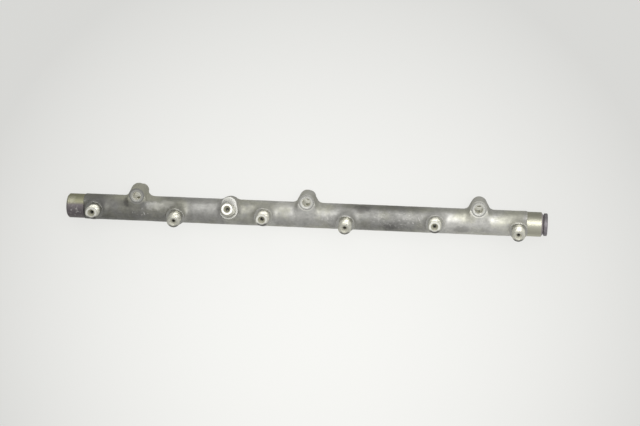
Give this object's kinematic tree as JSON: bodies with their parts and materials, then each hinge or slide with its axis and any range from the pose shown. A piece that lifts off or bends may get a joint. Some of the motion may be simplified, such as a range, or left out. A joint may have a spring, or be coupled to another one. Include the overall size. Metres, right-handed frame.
{
  "type": "fuel rail",
  "caption": "Forged common-rail pressure tube with threaded line stubs, bolt lugs and a screw plug, for an in-line six diesel",
  "frame": {"origin": "axis of the middle bolt hole, on the plane of the three mounting pads", "axes": "+X along the rail to the plugged end, +Y from the tube to the bolt lugs, +Z out of the mounting plane, the way the bolts leave"},
  "size_m": [0.5136, 0.0421, 0.0473],
  "materials": {
    "forged_steel": "rough forged grey, machined bright",
    "dark_steel": "dark phosphated, satin"
  },
  "bodies": {
    "root": {"rail_body": "forged_steel", "end_plug": "dark_steel"}
  },
  "joints": []
}
